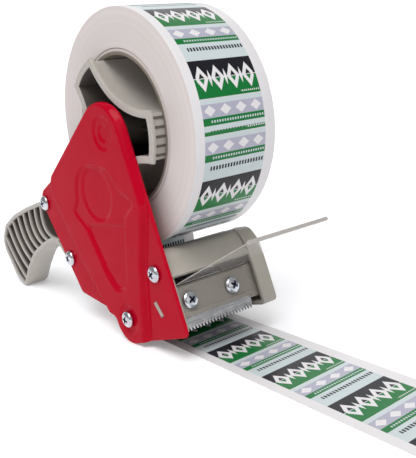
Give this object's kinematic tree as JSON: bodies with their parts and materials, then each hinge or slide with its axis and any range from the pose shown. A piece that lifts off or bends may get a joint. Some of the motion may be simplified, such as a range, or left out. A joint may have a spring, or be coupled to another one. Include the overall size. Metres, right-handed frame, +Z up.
{
  "type": "tape dispenser",
  "caption": "Hand-held packing-tape dispenser with a pressed steel side plate, pistol grip, three-lobed hub, tape roll, saw-tooth blade and applicator roller.",
  "frame": {"origin": "centre of the bounding box on the surface that the dispenser stands on", "axes": "+X forward along the laid tape, +Y across the tape away from the side plate, +Z up"},
  "size_m": [0.488, 0.0826, 0.174],
  "materials": {
    "red_paint": "glossy red enamel on pressed steel",
    "grey_plastic": "satin moulded plastic",
    "zinc_steel": "bright zinc plated",
    "spring_steel": "drawn wire",
    "blade_steel": "ground steel",
    "rubber": "matt rubber",
    "black_plastic": "satin moulded plastic",
    "clear_film": "clear frosted film",
    "tape_film": "printed polypropylene tape",
    "cardboard": "wound grey-brown board",
    "fibre": "pressed fibre"
  },
  "bodies": {
    "frame": {"frame_plate": "red_paint", "handle_grip": "grey_plastic", "handle_screw_upper": "zinc_steel", "handle_screw_lower": "zinc_steel", "housing_screw": "zinc_steel", "front_housing": "grey_plastic", "blade_clamp": "grey_plastic", "cutting_blade": "blade_steel", "clamp_screw_near": "zinc_steel", "clamp_screw_far": "zinc_steel", "roller_shaft": "zinc_steel", "roller_clip": "zinc_steel", "roller_screw": "zinc_steel", "hub_axle": "zinc_steel", "tape_web": "tape_film", "tape_strip": "tape_film", "brake_washer": "fibre", "brake_spring": "spring_steel", "spring_cup": "zinc_steel"},
    "hub": {"hub_shell": "grey_plastic", "tape_core": "cardboard", "tape_roll": "tape_film"},
    "roller": {"roller_sleeve": "rubber", "roller_tube": "black_plastic"},
    "knob": {"brake_knob": "black_plastic"},
    "flap": {"tape_flap": "clear_film"}
  },
  "joints": [
    {"name": "hub_spin", "type": "hinge", "parent": "frame", "child": "hub", "pos_m": [-0.08196, -0.0004, 0.113], "axis": [0, 1, 0], "continuous": true},
    {"name": "roller_spin", "type": "hinge", "parent": "frame", "child": "roller", "pos_m": [-0.07556, -0.0004, 0.0138], "axis": [0, 1, 0], "continuous": true},
    {"name": "knob_turn", "type": "hinge", "parent": "frame", "child": "knob", "pos_m": [-0.08196, 0.0376, 0.113], "axis": [0, 1, 0], "range_deg": [-180, 180]},
    {"name": "flap_lift", "type": "hinge", "parent": "frame", "child": "flap", "pos_m": [-0.04176, -0.0064, 0.0373], "axis": [0, -1, 0], "range_deg": [0, 20], "stiffness_Nm_per_rad": 0.02}
  ],
  "couplings": [
    {"joint": "roller_spin", "follows": "hub_spin", "ratio": -4.6565}
  ]
}
